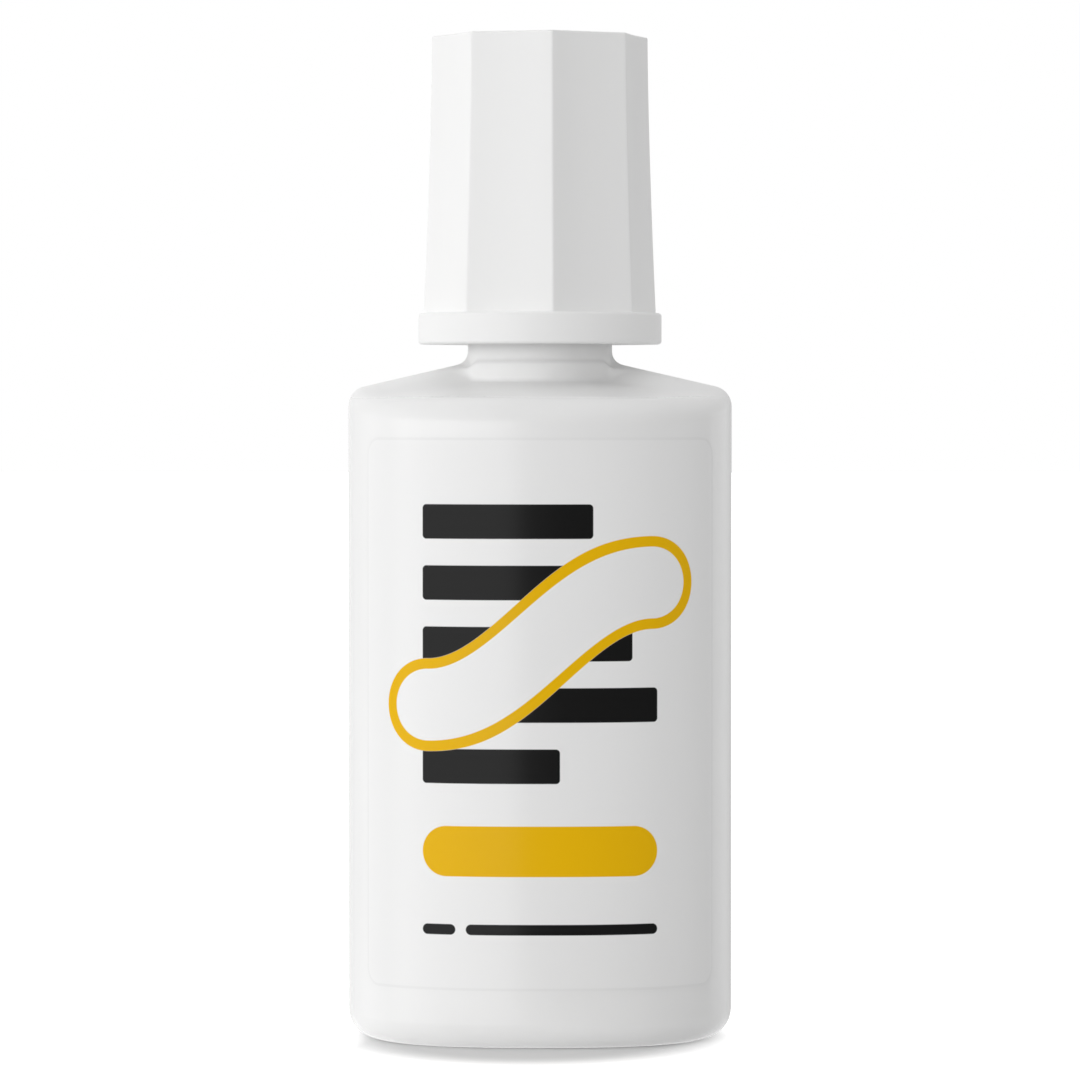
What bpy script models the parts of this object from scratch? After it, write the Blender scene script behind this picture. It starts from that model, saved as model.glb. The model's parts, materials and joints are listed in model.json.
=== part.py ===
"""Correction fluid bottle: oval bottle, octagonal screw cap, brush and its seals.

Metres, +Z up. The origin is the middle of the base, and the front looks along -Y.
"""

import math

import bmesh
import bpy
import numpy as np

MM = 0.001

# Bottle
BODY_WIDTH = 29.6 * MM
BODY_DEPTH = 24.4 * MM
OVAL_POWER = 2.5
BODY_HEIGHT = 51.7 * MM
SHOULDER_SLOPE = math.radians(13.0)
SHOULDER_DIP = 1.35 * MM
SHOULDER_DIP_POWER = 0.6
SHOULDER_FILLET = 1.7 * MM
BASE_FILLET = 2.0 * MM
STANDING_RING = 3.4 * MM
PUSH_UP_RUN = 1.6 * MM
PUSH_UP_RISE = 0.8 * MM
BOTTLE_WALL = 1.1 * MM
NECK_RADIUS = 5.56 * MM
NECK_HEIGHT = 10.9 * MM
COLLAR_STEP = 0.44 * MM
COLLAR_CHAMFER = 0.2 * MM
COLLAR_LAND = 0.2 * MM

# Label
LABEL_FOOT_MARGIN = 4.5 * MM
LABEL_HEAD_MARGIN = 5.6 * MM
LABEL_SIDE_MARGIN = 1.8 * MM
LABEL_THICKNESS = 0.15 * MM
LABEL_GAP = 0.05 * MM

# Cap
CAP_SIDES = 8
CAP_HEIGHT = 23.8 * MM
CAP_CLEAR_OF_SHOULDER = 1.5 * MM
CAP_WALL = 1.49 * MM
CAP_TAPER = 0.65 * MM
CAP_FLARE_POWER = 1.5
CAP_TOP_WALL = 1.2 * MM
CAP_EDGE_BEVEL = 0.15 * MM
CAP_LEDGE = 0.85 * MM
CAP_REST_ANGLE = math.radians(6.3)
FLANGE_HEIGHT = 2.4 * MM
FLANGE_STEP = 0.35 * MM
FLANGE_BEVEL = 0.25 * MM
THREAD_HEIGHT = 0.94 * MM
THREAD_CLEARANCE = 0.35 * MM
SOCKET_WALL = 1.0 * MM

# Wiper, liner and stem
WIPER_FLANGE = 0.7 * MM
WIPER_FLANGE_INSET = 0.2 * MM
WIPER_SLEEVE = 5.0 * MM
WIPER_CONE = 2.6 * MM
WIPER_WALL = 0.6 * MM
LINER_THICKNESS = 0.8 * MM
STEM_FLANGE = 0.9 * MM
PLUG_RADIUS = 3.2 * MM
PLUG_LENGTH = 4.6 * MM
PLUG_WALL = 1.0 * MM
ROD_RADIUS = 1.45 * MM
HOLDER_STEP = 0.3 * MM
HOLDER_LENGTH = 6.0 * MM
HOLDER_TAPER = 1.5 * MM
HOLDER_BORE_DEPTH = 4.4 * MM

# Brush
TUFT_RADIUS = 1.12 * MM
TUFT_SPREAD = 0.45 * MM
TUFT_DOME = 0.9 * MM
TUFT_SLICE = 2.6 * MM
TUFT_CUTS = 7
TUFT_GAP = 0.018 * MM
BRISTLE_LENGTH = 12.5 * MM
TIP_ABOVE_FLOOR = 8.4 * MM
STAPLE_THICKNESS = 0.35 * MM
STAPLE_HEIGHT = 1.0 * MM

# Mixing ball
BALL_RADIUS = 2.4 * MM

# Clearances
SEAT_GAP = 0.1 * MM
FIT_GAP = 0.12 * MM
PASS_GAP = 0.35 * MM
BALL_GAP = 0.25 * MM

# Facets
TURN_STEPS = 48
FRONT_FACETS = 18
SIDE_FACETS = 10
FILLET_SEGMENTS = 4
EDGE_SEGMENTS = 2
FLARE_STATIONS = 5
BALL_SLICES = 20
BALL_BANDS = 12
SHARP_ANGLE = math.radians(30.0)

# Heights worked out from the sizes above
NECK_TOP = BODY_HEIGHT + NECK_HEIGHT
CAP_FOOT = BODY_HEIGHT + CAP_CLEAR_OF_SHOULDER
CAP_TOP = CAP_FOOT + CAP_HEIGHT
WIPER_SEAT = NECK_TOP + SEAT_GAP
LINER_SEAT = WIPER_SEAT + WIPER_FLANGE + SEAT_GAP
STEM_SEAT = LINER_SEAT + LINER_THICKNESS + SEAT_GAP
LEDGE_HEIGHT = STEM_SEAT + STEM_FLANGE + SEAT_GAP
FLOOR_HEIGHT = PUSH_UP_RISE + BOTTLE_WALL
TIP_HEIGHT = FLOOR_HEIGHT + TIP_ABOVE_FLOOR
HOLDER_END = TIP_HEIGHT + BRISTLE_LENGTH

# Radii worked out from the sizes above
COLLAR_RADIUS = NECK_RADIUS + COLLAR_STEP
NECK_BORE = NECK_RADIUS - BOTTLE_WALL
CAP_BORE = NECK_RADIUS + THREAD_HEIGHT + THREAD_CLEARANCE
FLAT_TO_CORNER = 1.0 / math.cos(math.pi / CAP_SIDES)
CAP_FOOT_RADIUS = (CAP_BORE + CAP_WALL) * FLAT_TO_CORNER
CAP_TOP_RADIUS = CAP_FOOT_RADIUS - CAP_TAPER
SOCKET_BORE = PLUG_RADIUS + FIT_GAP
HOLDER_RADIUS = ROD_RADIUS + HOLDER_STEP
HOLDER_BORE = TUFT_RADIUS + FIT_GAP
WIPER_MOUTH = max(HOLDER_RADIUS, TUFT_RADIUS + TUFT_SPREAD) + PASS_GAP


def new_collection(name):
    """Make a collection in the scene."""
    collection = bpy.data.collections.new(name)
    bpy.context.scene.collection.children.link(collection)
    return collection


def new_material(name, color, roughness, metallic=0.0):
    """Make a Principled material."""
    material = bpy.data.materials.new(name)
    material.use_nodes = True
    shader = material.node_tree.nodes["Principled BSDF"]
    shader.inputs["Base Color"].default_value = (*color, 1.0)
    shader.inputs["Roughness"].default_value = roughness
    shader.inputs["Metallic"].default_value = metallic
    return material


def new_axis(name, parent=None, location=(0.0, 0.0, 0.0)):
    """Make an empty that pieces hang from, on the axis of a joint."""
    empty = bpy.data.objects.new(name, None)
    empty.location = location
    empty.parent = parent
    parts.objects.link(empty)
    return empty


def new_piece(name, bm, material, parent, sharp_angle=SHARP_ANGLE):
    """Turn a bmesh into a named object of the part."""
    mesh = bpy.data.meshes.new(name)
    bm.to_mesh(mesh)
    bm.free()
    mesh.shade_smooth()
    mesh.set_sharp_from_angle(angle=sharp_angle)
    mesh.materials.append(material)
    piece = bpy.data.objects.new(name, mesh)
    piece.parent = parent
    parts.objects.link(piece)
    return piece


def as_cutter(piece):
    """Keep a helper object out of the part."""
    parts.objects.unlink(piece)
    cutters.objects.link(piece)
    piece.hide_render = True
    piece.display_type = "WIRE"
    return piece


def profile_mesh(points, closed):
    """Lay a profile of (radius, height) points in the XZ plane, ready for Screw."""
    bm = bmesh.new()
    verts = [bm.verts.new((radius, 0.0, height)) for radius, height in points]
    for start, end in zip(verts, verts[1:]):
        bm.edges.new((start, end))
    if closed:
        bm.edges.new((verts[-1], verts[0]))
    return bm


def turned(name, points, material, parent, closed=False, steps=TURN_STEPS):
    """Turn a profile, listed top to bottom along its outer side, about the Z axis."""
    piece = new_piece(name, profile_mesh(points, closed), material, parent)
    screw = piece.modifiers.new("Turn", "SCREW")
    screw.axis = "Z"
    screw.angle = math.tau
    screw.steps = steps
    screw.render_steps = steps
    screw.use_merge_vertices = True
    screw.merge_threshold = 0.0000001
    screw.use_smooth_shade = True
    return piece


def boolean(piece, operation, other):
    """Add an exact Boolean with another mesh."""
    modifier = piece.modifiers.new(operation.title(), "BOOLEAN")
    modifier.operation = operation
    modifier.object = other
    modifier.solver = "EXACT"


def oval_angles():
    """Give the parameters of the oval's points, with two of them on the label's edges."""
    half = BODY_WIDTH / 2
    edge = math.asin((1.0 - LABEL_SIDE_MARGIN / half) ** (OVAL_POWER / 2))
    front = np.linspace(-edge, edge, FRONT_FACETS, endpoint=False)
    side = np.linspace(edge, math.pi - edge, SIDE_FACETS, endpoint=False)
    return np.concatenate([front, side, front + math.pi, side + math.pi])


def oval_points(angles):
    """Give the body's outline, a superellipse, from the front round by the right side."""
    power = 2.0 / OVAL_POWER
    sine = np.sin(angles)
    cosine = np.cos(angles)
    x = BODY_WIDTH / 2 * np.sign(sine) * np.abs(sine) ** power
    y = -BODY_DEPTH / 2 * np.sign(cosine) * np.abs(cosine) ** power
    return np.stack([x, y], axis=1)


def oval_normals(outline):
    """Give the outward directions of the superellipse at its points."""
    half = np.array([BODY_WIDTH / 2, BODY_DEPTH / 2])
    share = outline / half
    gradient = np.sign(share) * np.abs(share) ** (OVAL_POWER - 1.0) / half
    return gradient / np.linalg.norm(gradient, axis=1, keepdims=True)


def ring(directions, radii, heights):
    """Place one loop of points along the outline's directions from the axis."""
    places = directions * np.broadcast_to(radii, len(directions))[:, None]
    heights = np.broadcast_to(heights, len(directions))
    return np.column_stack([places, heights])


def loft(bm, rings):
    """Join loops of equal count with quads, and return their vertices by loop."""
    loops = [[bm.verts.new(point) for point in points] for points in rings]
    for upper, lower in zip(loops, loops[1:]):
        for i in range(len(upper)):
            j = (i + 1) % len(upper)
            bm.faces.new((upper[i], lower[i], lower[j], upper[j]))
    return loops


def close_loft(bm, loop, height, first):
    """Close the first or the last loop of a loft with a fan about the Z axis."""
    middle = bm.verts.new((0.0, 0.0, height))
    for start, end in zip(loop, loop[1:] + loop[:1]):
        bm.faces.new((middle, start, end) if first else (start, middle, end))


def mark_fillet(bm, loop, share):
    """Give the edges of a loop a share of the Bevel modifier's width."""
    weight = bm.edges.layers.float.get("bevel_weight_edge")
    for start, end in zip(loop, loop[1:] + loop[:1]):
        bm.edges.get((start, end))[weight] = share


def make_bottle(parent):
    """Loft the bottle's skin from its floor up the inside, over the neck and down to the base."""
    outline = oval_points(oval_angles())
    reach = np.linalg.norm(outline, axis=1)
    directions = outline / reach[:, None]
    drop = math.tan(SHOULDER_SLOPE)
    collar_foot = BODY_HEIGHT - SHOULDER_DIP * np.abs(directions[:, 1]) ** SHOULDER_DIP_POWER
    corner = collar_foot - drop * (reach - COLLAR_RADIUS)
    ring_edge = reach - BASE_FILLET - STANDING_RING
    push_edge = ring_edge - PUSH_UP_RUN
    collar_top = BODY_HEIGHT + COLLAR_LAND
    inside = reach - BOTTLE_WALL
    ceiling = collar_foot - BOTTLE_WALL / math.cos(SHOULDER_SLOPE)
    inside_corner = ceiling - drop * (inside - COLLAR_RADIUS)
    bore_foot = ceiling - drop * (NECK_BORE - COLLAR_RADIUS)
    push_up_shift = BOTTLE_WALL * math.tan(math.atan2(PUSH_UP_RISE, PUSH_UP_RUN) / 2)
    push_inside = push_edge + push_up_shift
    inner_rings = [
        ring(directions, push_inside / 2, FLOOR_HEIGHT),
        ring(directions, push_inside, FLOOR_HEIGHT),
        ring(directions, ring_edge + push_up_shift, BOTTLE_WALL),
        ring(directions, inside, BOTTLE_WALL),
        ring(directions, inside, inside_corner),
        ring(directions, (NECK_BORE + inside) / 2, (bore_foot + inside_corner) / 2),
        ring(directions, NECK_BORE, bore_foot),
        ring(directions, NECK_BORE, NECK_TOP),
    ]
    outer_rings = [
        ring(directions, NECK_RADIUS, NECK_TOP),
        ring(directions, NECK_RADIUS, collar_top + COLLAR_CHAMFER),
        ring(directions, COLLAR_RADIUS, collar_top),
        ring(directions, COLLAR_RADIUS, collar_foot),
        ring(directions, (COLLAR_RADIUS + reach) / 2, (collar_foot + corner) / 2),
        ring(directions, reach, corner),
        ring(directions, reach, 0.0),
        ring(directions, ring_edge, 0.0),
        ring(directions, push_edge, PUSH_UP_RISE),
        ring(directions, push_edge / 2, PUSH_UP_RISE),
    ]
    bm = bmesh.new()
    bm.edges.layers.float.new("bevel_weight_edge")
    loops = loft(bm, inner_rings + outer_rings)
    close_loft(bm, loops[0], FLOOR_HEIGHT, first=True)
    close_loft(bm, loops[-1], PUSH_UP_RISE, first=False)
    widest = max(SHOULDER_FILLET, BASE_FILLET)
    fillets = {
        3: max(BASE_FILLET - BOTTLE_WALL, FIT_GAP),
        4: max(SHOULDER_FILLET - BOTTLE_WALL, FIT_GAP),
        len(inner_rings) + 5: SHOULDER_FILLET,
        len(inner_rings) + 6: BASE_FILLET,
    }
    for index, radius in fillets.items():
        mark_fillet(bm, loops[index], radius / widest)
    bottle = new_piece("bottle_body", bm, white_bottle, parent)
    bevel = bottle.modifiers.new("Fillets", "BEVEL")
    bevel.limit_method = "WEIGHT"
    bevel.offset_type = "OFFSET"
    bevel.width = widest
    bevel.segments = FILLET_SEGMENTS
    bevel.use_clamp_overlap = False
    return bottle


def make_label(parent):
    """Lay the label's film on the front facets of the body."""
    outline = oval_points(oval_angles())[: FRONT_FACETS + 1]
    film = outline + oval_normals(outline) * LABEL_GAP
    foot = LABEL_FOOT_MARGIN
    head = BODY_HEIGHT - LABEL_HEAD_MARGIN
    bm = bmesh.new()
    columns = [[bm.verts.new((x, y, z)) for z in (foot, head)] for x, y in film]
    for left, right in zip(columns, columns[1:]):
        bm.faces.new((left[0], right[0], right[1], left[1]))
    label = new_piece("front_label", bm, label_film, parent)
    film_wall = label.modifiers.new("Film", "SOLIDIFY")
    film_wall.thickness = LABEL_THICKNESS
    film_wall.offset = 1.0
    film_wall.use_even_offset = True
    return label


def make_wiper(parent):
    """Turn the wiper: a flange on the neck, a sleeve in its bore and a narrow mouth."""
    flange_radius = NECK_RADIUS - WIPER_FLANGE_INSET
    sleeve_radius = NECK_BORE - FIT_GAP
    sleeve_bore = sleeve_radius - WIPER_WALL
    top = WIPER_SEAT + WIPER_FLANGE
    sleeve_foot = NECK_TOP - WIPER_SLEEVE
    mouth = sleeve_foot - WIPER_CONE
    points = [
        (sleeve_bore, top),
        (flange_radius, top),
        (flange_radius, WIPER_SEAT),
        (sleeve_radius, WIPER_SEAT),
        (sleeve_radius, sleeve_foot),
        (WIPER_MOUTH + WIPER_WALL, mouth),
        (WIPER_MOUTH, mouth),
        (WIPER_MOUTH, mouth + WIPER_WALL),
        (sleeve_bore, sleeve_foot + WIPER_WALL),
    ]
    return turned("wiper_insert", points, soft_white, parent, closed=True)


def make_liner(parent):
    """Turn the foam washer that lies between the wiper's flange and the stem's flange."""
    outer = CAP_BORE - FIT_GAP - THREAD_CLEARANCE
    inner = ROD_RADIUS + PASS_GAP
    top = LINER_SEAT + LINER_THICKNESS
    points = [(inner, top), (outer, top), (outer, LINER_SEAT), (inner, LINER_SEAT)]
    return turned("seal_liner", points, grey_foam, parent, closed=True)


def make_stem(parent):
    """Turn the stem: plug, sealing flange, rod and the holder bored for the brush."""
    flange_top = STEM_SEAT + STEM_FLANGE
    plug_top = flange_top + PLUG_LENGTH
    holder_top = HOLDER_END + HOLDER_LENGTH
    flange_radius = CAP_BORE - FIT_GAP
    points = [
        (0.0, flange_top),
        (PLUG_RADIUS - PLUG_WALL, flange_top),
        (PLUG_RADIUS - PLUG_WALL, plug_top),
        (PLUG_RADIUS, plug_top),
        (PLUG_RADIUS, flange_top),
        (flange_radius, flange_top),
        (flange_radius, STEM_SEAT),
        (ROD_RADIUS, STEM_SEAT),
        (ROD_RADIUS, holder_top + HOLDER_TAPER),
        (HOLDER_RADIUS, holder_top),
        (HOLDER_RADIUS, HOLDER_END),
        (HOLDER_BORE, HOLDER_END),
        (HOLDER_BORE, HOLDER_END + HOLDER_BORE_DEPTH),
        (0.0, HOLDER_END + HOLDER_BORE_DEPTH),
    ]
    return turned("applicator_stem", points, soft_white, parent)


def staple_height():
    """Give the height of the staple's middle, in the middle of the tuft's slice."""
    return HOLDER_END + HOLDER_BORE_DEPTH - SEAT_GAP - TUFT_SLICE / 2


def make_staple(parent):
    """Make the flat anchor across the holder's bore."""
    bm = bmesh.new()
    bmesh.ops.create_cube(bm, size=1.0)
    length = 2 * (HOLDER_BORE - FIT_GAP)
    bmesh.ops.scale(bm, vec=(length, STAPLE_THICKNESS, STAPLE_HEIGHT), verts=bm.verts)
    bmesh.ops.translate(bm, vec=(0.0, 0.0, staple_height()), verts=bm.verts)
    return new_piece("brush_staple", bm, staple_steel, parent)


def round_hexagon(bm, radius):
    """Stretch a hexagon of unit size into a disc."""
    for vert in bm.verts:
        reach = math.hypot(vert.co.x, vert.co.y)
        if reach > 0.0:
            turn = (math.atan2(vert.co.y, vert.co.x) + math.pi / 6) % (math.pi / 3) - math.pi / 6
            edge = math.cos(math.pi / 6) / math.cos(turn)
            vert.co.xy *= radius / edge


def make_bristles(parent):
    """Grow the filaments from the cells of a disc, and fold them over the staple."""
    top = HOLDER_END + HOLDER_BORE_DEPTH - SEAT_GAP
    root = top - TUFT_SLICE
    bm = bmesh.new()
    bmesh.ops.create_circle(bm, cap_ends=True, cap_tris=True, segments=6, radius=1.0)
    bmesh.ops.subdivide_edges(bm, edges=bm.edges[:], cuts=TUFT_CUTS, use_grid_fill=True)
    round_hexagon(bm, TUFT_RADIUS)
    bmesh.ops.translate(bm, vec=(0.0, 0.0, root), verts=bm.verts)
    bmesh.ops.recalc_face_normals(bm, faces=bm.faces)
    for face in bm.faces:
        if face.normal.z > 0.0:
            face.normal_flip()
    cells = bm.faces[:]
    rim = [edge for edge in bm.edges if edge.is_boundary]
    raised = bmesh.ops.extrude_edge_only(bm, edges=rim)["geom"]
    raised_verts = [item for item in raised if isinstance(item, bmesh.types.BMVert)]
    bmesh.ops.translate(bm, vec=(0.0, 0.0, TUFT_SLICE), verts=raised_verts)
    bmesh.ops.contextual_create(
        bm, geom=[item for item in raised if isinstance(item, bmesh.types.BMEdge)]
    )
    bmesh.ops.inset_individual(bm, faces=cells, thickness=TUFT_GAP, use_even_offset=True)
    strands = bmesh.ops.extrude_discrete_faces(bm, faces=cells)["faces"]
    free_length = root - TIP_HEIGHT
    for strand in strands:
        for vert in strand.verts:
            share = math.hypot(vert.co.x, vert.co.y) / TUFT_RADIUS
            vert.co.z -= free_length - TUFT_DOME * share * share
            vert.co.xy *= 1.0 + TUFT_SPREAD / TUFT_RADIUS
    bmesh.ops.recalc_face_normals(bm, faces=bm.faces)
    bristles = new_piece("brush_bristles", bm, nylon, parent)
    cut = bmesh.new()
    bmesh.ops.create_cube(cut, size=1.0)
    slot = (2 * HOLDER_BORE, STAPLE_THICKNESS + 2 * FIT_GAP, STAPLE_HEIGHT + 2 * FIT_GAP)
    bmesh.ops.scale(cut, vec=slot, verts=cut.verts)
    bmesh.ops.translate(cut, vec=(0.0, 0.0, staple_height()), verts=cut.verts)
    boolean(bristles, "DIFFERENCE", as_cutter(new_piece("staple_slot", cut, nylon, parent)))
    return bristles


def cap_flare():
    """Give the octagon's corner line from the top down: steep at first, then flaring out."""
    flange_top = CAP_FOOT + FLANGE_HEIGHT
    shares = np.linspace(0.0, 1.0, FLARE_STATIONS)
    radii = CAP_TOP_RADIUS + CAP_TAPER * shares**CAP_FLARE_POWER
    heights = CAP_TOP + (flange_top - CAP_TOP) * shares
    return list(zip(radii, heights))


def make_cap(parent):
    """Turn the eight-sided cap, join its flange and hollow it out round the socket."""
    flange_top = CAP_FOOT + FLANGE_HEIGHT
    flange_middle = CAP_FOOT + FLANGE_HEIGHT / 2
    ceiling = CAP_TOP - CAP_TOP_WALL
    points = [(0.0, CAP_TOP), *cap_flare(), (CAP_FOOT_RADIUS, flange_middle), (0.0, flange_middle)]
    cap = turned("cap_shell", points, white_cap, parent, steps=CAP_SIDES)
    cap.rotation_euler.z = CAP_REST_ANGLE
    bevel = cap.modifiers.new("Edges", "BEVEL")
    bevel.width = CAP_EDGE_BEVEL
    bevel.segments = EDGE_SEGMENTS
    bevel.limit_method = "ANGLE"
    bevel.angle_limit = SHARP_ANGLE
    flange_radius = CAP_FOOT_RADIUS + FLANGE_STEP
    rim = flange_radius - FLANGE_BEVEL
    flange_points = [
        (0.0, flange_top),
        (rim, flange_top),
        (flange_radius, flange_top - FLANGE_BEVEL),
        (flange_radius, CAP_FOOT + FLANGE_BEVEL),
        (rim, CAP_FOOT),
        (0.0, CAP_FOOT),
    ]
    boolean(cap, "UNION", as_cutter(turned("cap_flange", flange_points, white_cap, parent)))
    upper = CAP_BORE - CAP_LEDGE
    hollow_points = [
        (0.0, ceiling),
        (SOCKET_BORE, ceiling),
        (SOCKET_BORE, LEDGE_HEIGHT),
        (SOCKET_BORE + SOCKET_WALL, LEDGE_HEIGHT),
        (SOCKET_BORE + SOCKET_WALL, ceiling),
        (upper, ceiling),
        (upper, LEDGE_HEIGHT),
        (CAP_BORE, LEDGE_HEIGHT),
        (CAP_BORE, CAP_FOOT - FLANGE_HEIGHT),
        (0.0, CAP_FOOT - FLANGE_HEIGHT),
    ]
    boolean(cap, "DIFFERENCE", as_cutter(turned("cap_hollow", hollow_points, white_cap, parent)))
    return cap


def make_ball(parent):
    """Make the steel ball where it lies, in the right end of the base."""
    bm = bmesh.new()
    bmesh.ops.create_uvsphere(
        bm, u_segments=BALL_SLICES, v_segments=BALL_BANDS, radius=BALL_RADIUS
    )
    return new_piece("mixing_ball", bm, ball_steel, parent)


for leftover in list(bpy.data.objects):
    bpy.data.objects.remove(leftover)

parts = new_collection("correction_fluid_bottle")
cutters = new_collection("cutters")

white_bottle = new_material("white_bottle", (0.86, 0.86, 0.86), 0.34)
label_film = new_material("label_film", (0.87, 0.87, 0.87), 0.30)
white_cap = new_material("white_cap", (0.85, 0.85, 0.85), 0.40)
soft_white = new_material("soft_white", (0.82, 0.82, 0.80), 0.45)
grey_foam = new_material("grey_foam", (0.62, 0.63, 0.64), 0.85)
nylon = new_material("nylon", (0.80, 0.78, 0.72), 0.40)
staple_steel = new_material("staple_steel", (0.70, 0.68, 0.62), 0.35, metallic=1.0)
ball_steel = new_material("ball_steel", (0.72, 0.72, 0.73), 0.20, metallic=1.0)

bottle_axis = new_axis("bottle_axis")
lift_axis = new_axis("cap_lift_axis", bottle_axis)
rise_axis = new_axis("cap_rise_axis", lift_axis)
turn_axis = new_axis("cap_turn_axis", rise_axis)
ball_x = BODY_WIDTH / 2 - BOTTLE_WALL - BALL_RADIUS - BALL_GAP
ball_z = BOTTLE_WALL + BALL_RADIUS + BALL_GAP
ball_axis = new_axis("ball_axis", bottle_axis, (ball_x, 0.0, ball_z))

make_bottle(bottle_axis)
make_label(bottle_axis)
make_wiper(bottle_axis)
make_liner(lift_axis)
make_stem(rise_axis)
make_staple(rise_axis)
make_bristles(rise_axis)
make_cap(turn_axis)
make_ball(ball_axis)
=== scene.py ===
# %% [markdown]
# # A correction fluid bottle, dressed over its solids
#
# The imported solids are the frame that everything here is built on. They give each piece its place,
# its main sizes and the body that it moves with. This script makes a finer piece for every solid,
# gives it a finish made of nodes, and sets up the light and the camera of the photograph.
# All lengths are in metres, +Z is up, and the front of the bottle looks along -Y.

# %% Load the frame
import json
import math

import bpy
import numpy as np
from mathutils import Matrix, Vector


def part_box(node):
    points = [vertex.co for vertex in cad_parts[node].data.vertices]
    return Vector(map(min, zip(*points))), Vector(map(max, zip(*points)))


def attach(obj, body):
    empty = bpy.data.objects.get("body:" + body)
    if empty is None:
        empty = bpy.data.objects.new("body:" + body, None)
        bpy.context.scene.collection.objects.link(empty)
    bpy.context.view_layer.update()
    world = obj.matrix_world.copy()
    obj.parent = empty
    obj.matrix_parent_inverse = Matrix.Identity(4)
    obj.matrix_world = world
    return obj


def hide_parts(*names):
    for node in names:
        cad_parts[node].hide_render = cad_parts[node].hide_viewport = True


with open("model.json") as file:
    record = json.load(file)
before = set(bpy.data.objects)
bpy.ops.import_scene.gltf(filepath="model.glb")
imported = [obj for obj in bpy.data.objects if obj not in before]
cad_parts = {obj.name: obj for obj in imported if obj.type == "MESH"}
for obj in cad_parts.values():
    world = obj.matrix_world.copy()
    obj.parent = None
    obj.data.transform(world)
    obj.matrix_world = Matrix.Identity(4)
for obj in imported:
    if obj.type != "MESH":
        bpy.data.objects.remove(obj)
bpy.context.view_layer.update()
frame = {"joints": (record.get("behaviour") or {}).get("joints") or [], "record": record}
MM = 0.001

# %% [markdown]
# ## The camera
#
# The photograph was taken with a long lens from just above the middle of the bottle: the cap's top
# is seen edge on, and the base shows a shallow curve. The lens follows from two lengths, the width
# that the frame spans at the bottle's axis and the distance, so either can be changed by itself.

# %% Camera
FRAME_SPAN = 83.4 * MM
CAMERA_DISTANCE = 415 * MM
CAMERA_HEIGHT = 49.3 * MM
AIM_HEIGHT = 38.1 * MM
SENSOR_WIDTH = 36.0
NEAR_CLIP = 10 * MM
FAR_CLIP = 20.0

lens = bpy.data.cameras.new("photo_camera")
lens.sensor_width = SENSOR_WIDTH
lens.lens = SENSOR_WIDTH * CAMERA_DISTANCE / FRAME_SPAN
lens.clip_start = NEAR_CLIP
lens.clip_end = FAR_CLIP
camera = bpy.data.objects.new("photo_camera", lens)
camera.location = (0.0, -CAMERA_DISTANCE, CAMERA_HEIGHT)
aim = Vector((0.0, 0.0, AIM_HEIGHT)) - camera.location
camera.rotation_euler = aim.to_track_quat("-Z", "Y").to_euler()
bpy.context.scene.collection.objects.link(camera)
bpy.context.scene.camera = camera
print("lens in mm:", round(lens.lens, 1))

# %% [markdown]
# ## Surfaces from arrays
#
# Most pieces here are moulded or turned, so each is a profile carried round the axis. A profile is
# a list of corners, and real corners are never sharp, so a helper rounds them. It works on whole
# arrays: every corner holds one radius and one height for each direction round the axis, which
# lets a round neck run into an oval body, or a round bore into an eight-sided cap.

# %% Profiles with rounded corners
def rounded_profile(corners, columns, arc_steps=5):
    """Round the corners of a profile in every column, and give rows x columns x (radius, height).

    corners is a list of (radius, height, rounding, steps). A rounding of d turns the corner K into
    the conic ((1-s)^2 A + 2s(1-s)w K + s^2 B) / ((1-s)^2 + 2s(1-s)w + s^2), where A and B lie at
    the distance d before and after it and w is the cosine of half the turn: a circular arc. The
    straight run that leads to the corner is cut into that number of steps.
    """
    points = [np.stack([np.broadcast_to(r, columns), np.broadcast_to(z, columns)], axis=-1)
              for r, z, _, _ in corners]
    rows = [points[0][None]]
    for i in range(1, len(points)):
        corner, rounding, steps = points[i], np.reshape(corners[i][2], (-1, 1)), corners[i][3]
        arc = corner[None]
        if rounding.max() > 0.0:
            back = points[i - 1] - corner
            on = points[i + 1] - corner
            back = back / np.linalg.norm(back, axis=-1, keepdims=True)
            on = on / np.linalg.norm(on, axis=-1, keepdims=True)
            weight = np.sqrt((1.0 - np.sum(back * on, axis=-1, keepdims=True)).clip(0.0) / 2.0)
            s = np.linspace(0.0, 1.0, arc_steps + 1)[:, None, None]
            first, middle, last = (1 - s) ** 2, 2 * s * (1 - s) * weight, s**2
            start, end = corner + rounding * back, corner + rounding * on
            arc = (first * start + middle * corner + last * end) / (first + middle + last)
        share = np.linspace(0.0, 1.0, steps + 1)[1:-1, None, None]
        rows.append(rows[-1][-1] + share * (arc[0] - rows[-1][-1]))
        rows.append(arc)
    return np.concatenate(rows)


def closed_profile(corners, columns):
    """Round a profile that returns to its start, cut open in the middle of its last run."""
    (r0, z0, _, steps), (r1, z1, _, _) = corners[0], corners[-1]
    seam = ((r0 + r1) / 2, (z0 + z1) / 2, 0.0, steps)
    return rounded_profile([seam, *corners, seam], columns)[:-1]


def around(profile, angles):
    """Carry a profile round the Z axis: x = r cos a, y = r sin a, z = height."""
    radius, height = profile[..., 0], profile[..., 1]
    return np.stack([radius * np.cos(angles), radius * np.sin(angles), height], axis=-1)


print("profile helpers ready")

# %% [markdown]
# A grid of points becomes a mesh by joining neighbours with quads. The order of the four corners
# decides which way a face looks: with rows that run down the outside and columns that run
# counterclockwise seen from above, every face looks outwards, on inner walls too.

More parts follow.
